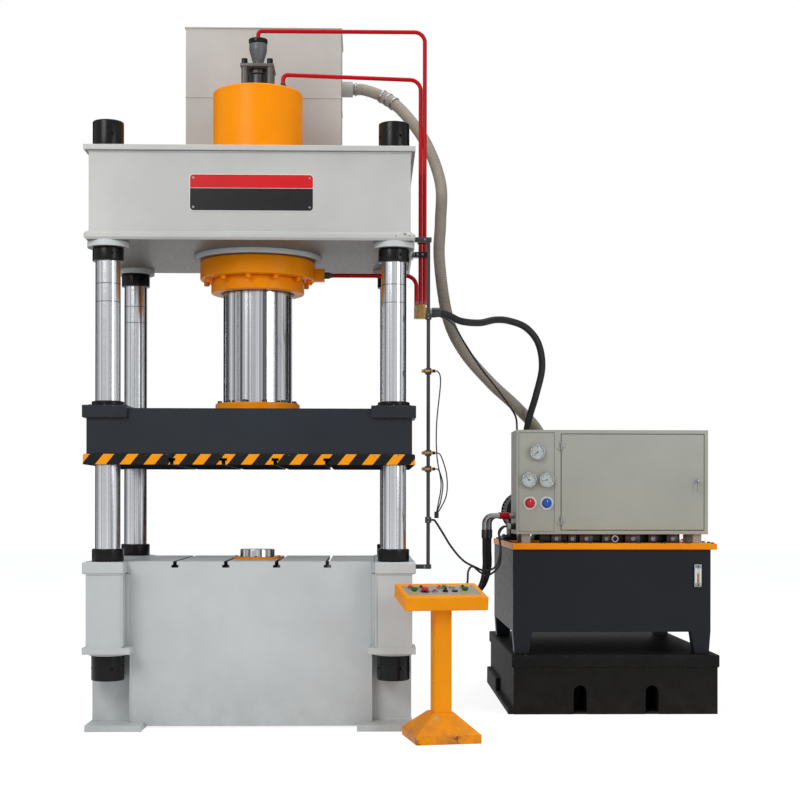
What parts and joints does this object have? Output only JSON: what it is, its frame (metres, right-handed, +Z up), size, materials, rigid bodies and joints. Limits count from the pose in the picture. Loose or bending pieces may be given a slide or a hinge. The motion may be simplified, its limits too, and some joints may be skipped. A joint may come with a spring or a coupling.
{
  "type": "hydraulic press",
  "caption": "Four-column hydraulic press with sliding platen, T-slotted table, ejector, overhead oil tank, power unit with valve cabinet on a plinth, and a control stand.",
  "frame": {"origin": "centre of the machine's own box on the floor, cords apart", "axes": "+Z up, the press faces -Y, and +X points from the press to its power unit"},
  "size_m": [3.622, 2.747, 4.159],
  "materials": {
    "light_grey_paint": "semi-gloss machine paint, light grey",
    "slate_paint": "semi-gloss dark slate paint",
    "gloss_black": "gloss black",
    "hard_chrome": "ground hard chrome",
    "machined_steel": "machined steel",
    "orange_paint": "gloss orange paint",
    "red_paint": "gloss red paint",
    "cabinet_grey": "fine textured powder coat, grey green",
    "cast_iron": "oily dark cast iron",
    "stand_yellow": "worn orange yellow paint",
    "brass": "machined brass",
    "black_rubber": "matt black rubber",
    "grey_hose": "ribbed grey hose",
    "dial_white": "white dial",
    "knob_red": "red plastic",
    "knob_blue": "blue plastic",
    "button_green": "green plastic",
    "button_black": "black plastic"
  },
  "bodies": {
    "machine": {"bed": "light_grey_paint", "table_plate": "light_grey_paint", "crown": "light_grey_paint", "column_front_left": "hard_chrome", "top_nut_front_left": "gloss_black", "column_front_right": "hard_chrome", "top_nut_front_right": "gloss_black", "column_rear_left": "hard_chrome", "top_nut_rear_left": "gloss_black", "column_rear_right": "hard_chrome", "top_nut_rear_right": "gloss_black", "main_cylinder": "orange_paint", "gland_ring": "orange_paint", "prefill_valve": "machined_steel", "overhead_tank": "cabinet_grey", "prefill_pipe": "red_paint", "cylinder_pipe": "red_paint", "gland_pipe": "red_paint", "pipe_union": "brass", "pipe_bracket": "gloss_black", "sensor_rod": "gloss_black", "ejector_cylinder": "orange_paint", "plinth": "cast_iron", "oil_tank": "slate_paint", "tank_lid": "orange_paint", "pump_motor": "slate_paint", "valve_cabinet": "cabinet_grey", "valve_manifold": "machined_steel", "pressure_gauge_1": "dial_white", "pressure_gauge_2": "dial_white", "pressure_gauge_3": "dial_white", "oil_level_gauge": "dial_white", "control_stand": "stand_yellow", "control_console": "stand_yellow", "pressure_hose": "black_rubber", "return_hose": "grey_hose", "signal_cable": "black_rubber", "trunk_cable": "black_rubber", "console_cable": "black_rubber", "ejector_hose_front": "black_rubber", "ejector_hose_rear": "black_rubber", "sensor_harness": "black_rubber"},
    "press_slide": {"slide": "slate_paint", "slide_platen": "slate_paint", "ram": "hard_chrome", "ram_clamp_ring": "orange_paint"},
    "ejector": {"ejector_rod": "hard_chrome"},
    "door": {"cabinet_door": "cabinet_grey"},
    "lock": {"door_lock": "machined_steel"},
    "knob_red": {"pressure_knob_red": "knob_red"},
    "knob_blue": {"pressure_knob_blue": "knob_blue"},
    "button_black_left_body": {"button_black_left": "button_black"},
    "button_orange_body": {"button_orange": "knob_red"},
    "button_yellow_body": {"button_yellow": "stand_yellow"},
    "button_black_right_body": {"button_black_right": "button_black"},
    "mushroom_green_left_body": {"mushroom_green_left": "button_green"},
    "mushroom_red_body": {"mushroom_red": "knob_red"},
    "button_pink_body": {"button_pink": "knob_red"},
    "mushroom_green_right_body": {"mushroom_green_right": "button_green"},
    "selector": {"selector_switch": "button_black"}
  },
  "joints": [
    {"name": "slide_travel", "type": "slide", "parent": "machine", "child": "press_slide", "axis": [0, 0, 1], "range_m": [-0.4, 0.42]},
    {"name": "ejector_travel", "type": "slide", "parent": "machine", "child": "ejector", "axis": [0, 0, 1], "range_m": [-0.055, 0.145]},
    {"name": "door_hinge", "type": "hinge", "parent": "machine", "child": "door", "pos_m": [0.888, -0.153, 1.37], "axis": [0, 0, 1], "range_deg": [-110, 0]},
    {"name": "lock_turn", "type": "hinge", "parent": "door", "child": "lock", "pos_m": [1.7, -0.1473, 1.3745], "axis": [0, 1, 0], "range_deg": [0, 90]},
    {"name": "knob_red_turn", "type": "hinge", "parent": "machine", "child": "knob_red", "pos_m": [0.703, -0.1438, 1.2436], "axis": [0, 1, 0], "range_deg": [-135, 135]},
    {"name": "knob_blue_turn", "type": "hinge", "parent": "machine", "child": "knob_blue", "pos_m": [0.8038, -0.1438, 1.2436], "axis": [0, 1, 0], "range_deg": [-135, 135]},
    {"name": "button_black_left_press", "type": "slide", "parent": "machine", "child": "button_black_left_body", "axis": [-0.0331, 0.1879, -0.9816], "range_m": [0, 0.005], "stiffness_N_per_m": 2000},
    {"name": "button_orange_press", "type": "slide", "parent": "machine", "child": "button_orange_body", "axis": [-0.0331, 0.1879, -0.9816], "range_m": [0, 0.005], "stiffness_N_per_m": 2000},
    {"name": "button_yellow_press", "type": "slide", "parent": "machine", "child": "button_yellow_body", "axis": [-0.0331, 0.1879, -0.9816], "range_m": [0, 0.005], "stiffness_N_per_m": 2000},
    {"name": "button_black_right_press", "type": "slide", "parent": "machine", "child": "button_black_right_body", "axis": [-0.0331, 0.1879, -0.9816], "range_m": [0, 0.005], "stiffness_N_per_m": 2000},
    {"name": "mushroom_green_left_press", "type": "slide", "parent": "machine", "child": "mushroom_green_left_body", "axis": [-0.0331, 0.1879, -0.9816], "range_m": [0, 0.005], "stiffness_N_per_m": 2000},
    {"name": "mushroom_red_press", "type": "slide", "parent": "machine", "child": "mushroom_red_body", "axis": [-0.0331, 0.1879, -0.9816], "range_m": [0, 0.005], "stiffness_N_per_m": 2000},
    {"name": "button_pink_press", "type": "slide", "parent": "machine", "child": "button_pink_body", "axis": [-0.0331, 0.1879, -0.9816], "range_m": [0, 0.005], "stiffness_N_per_m": 2000},
    {"name": "mushroom_green_right_press", "type": "slide", "parent": "machine", "child": "mushroom_green_right_body", "axis": [-0.0331, 0.1879, -0.9816], "range_m": [0, 0.005], "stiffness_N_per_m": 2000},
    {"name": "selector_turn", "type": "hinge", "parent": "machine", "child": "selector", "pos_m": [0.1432, -1.19023, 0.78257], "axis": [0.0331, -0.1879, 0.9816], "range_deg": [-45, 45]}
  ]
}
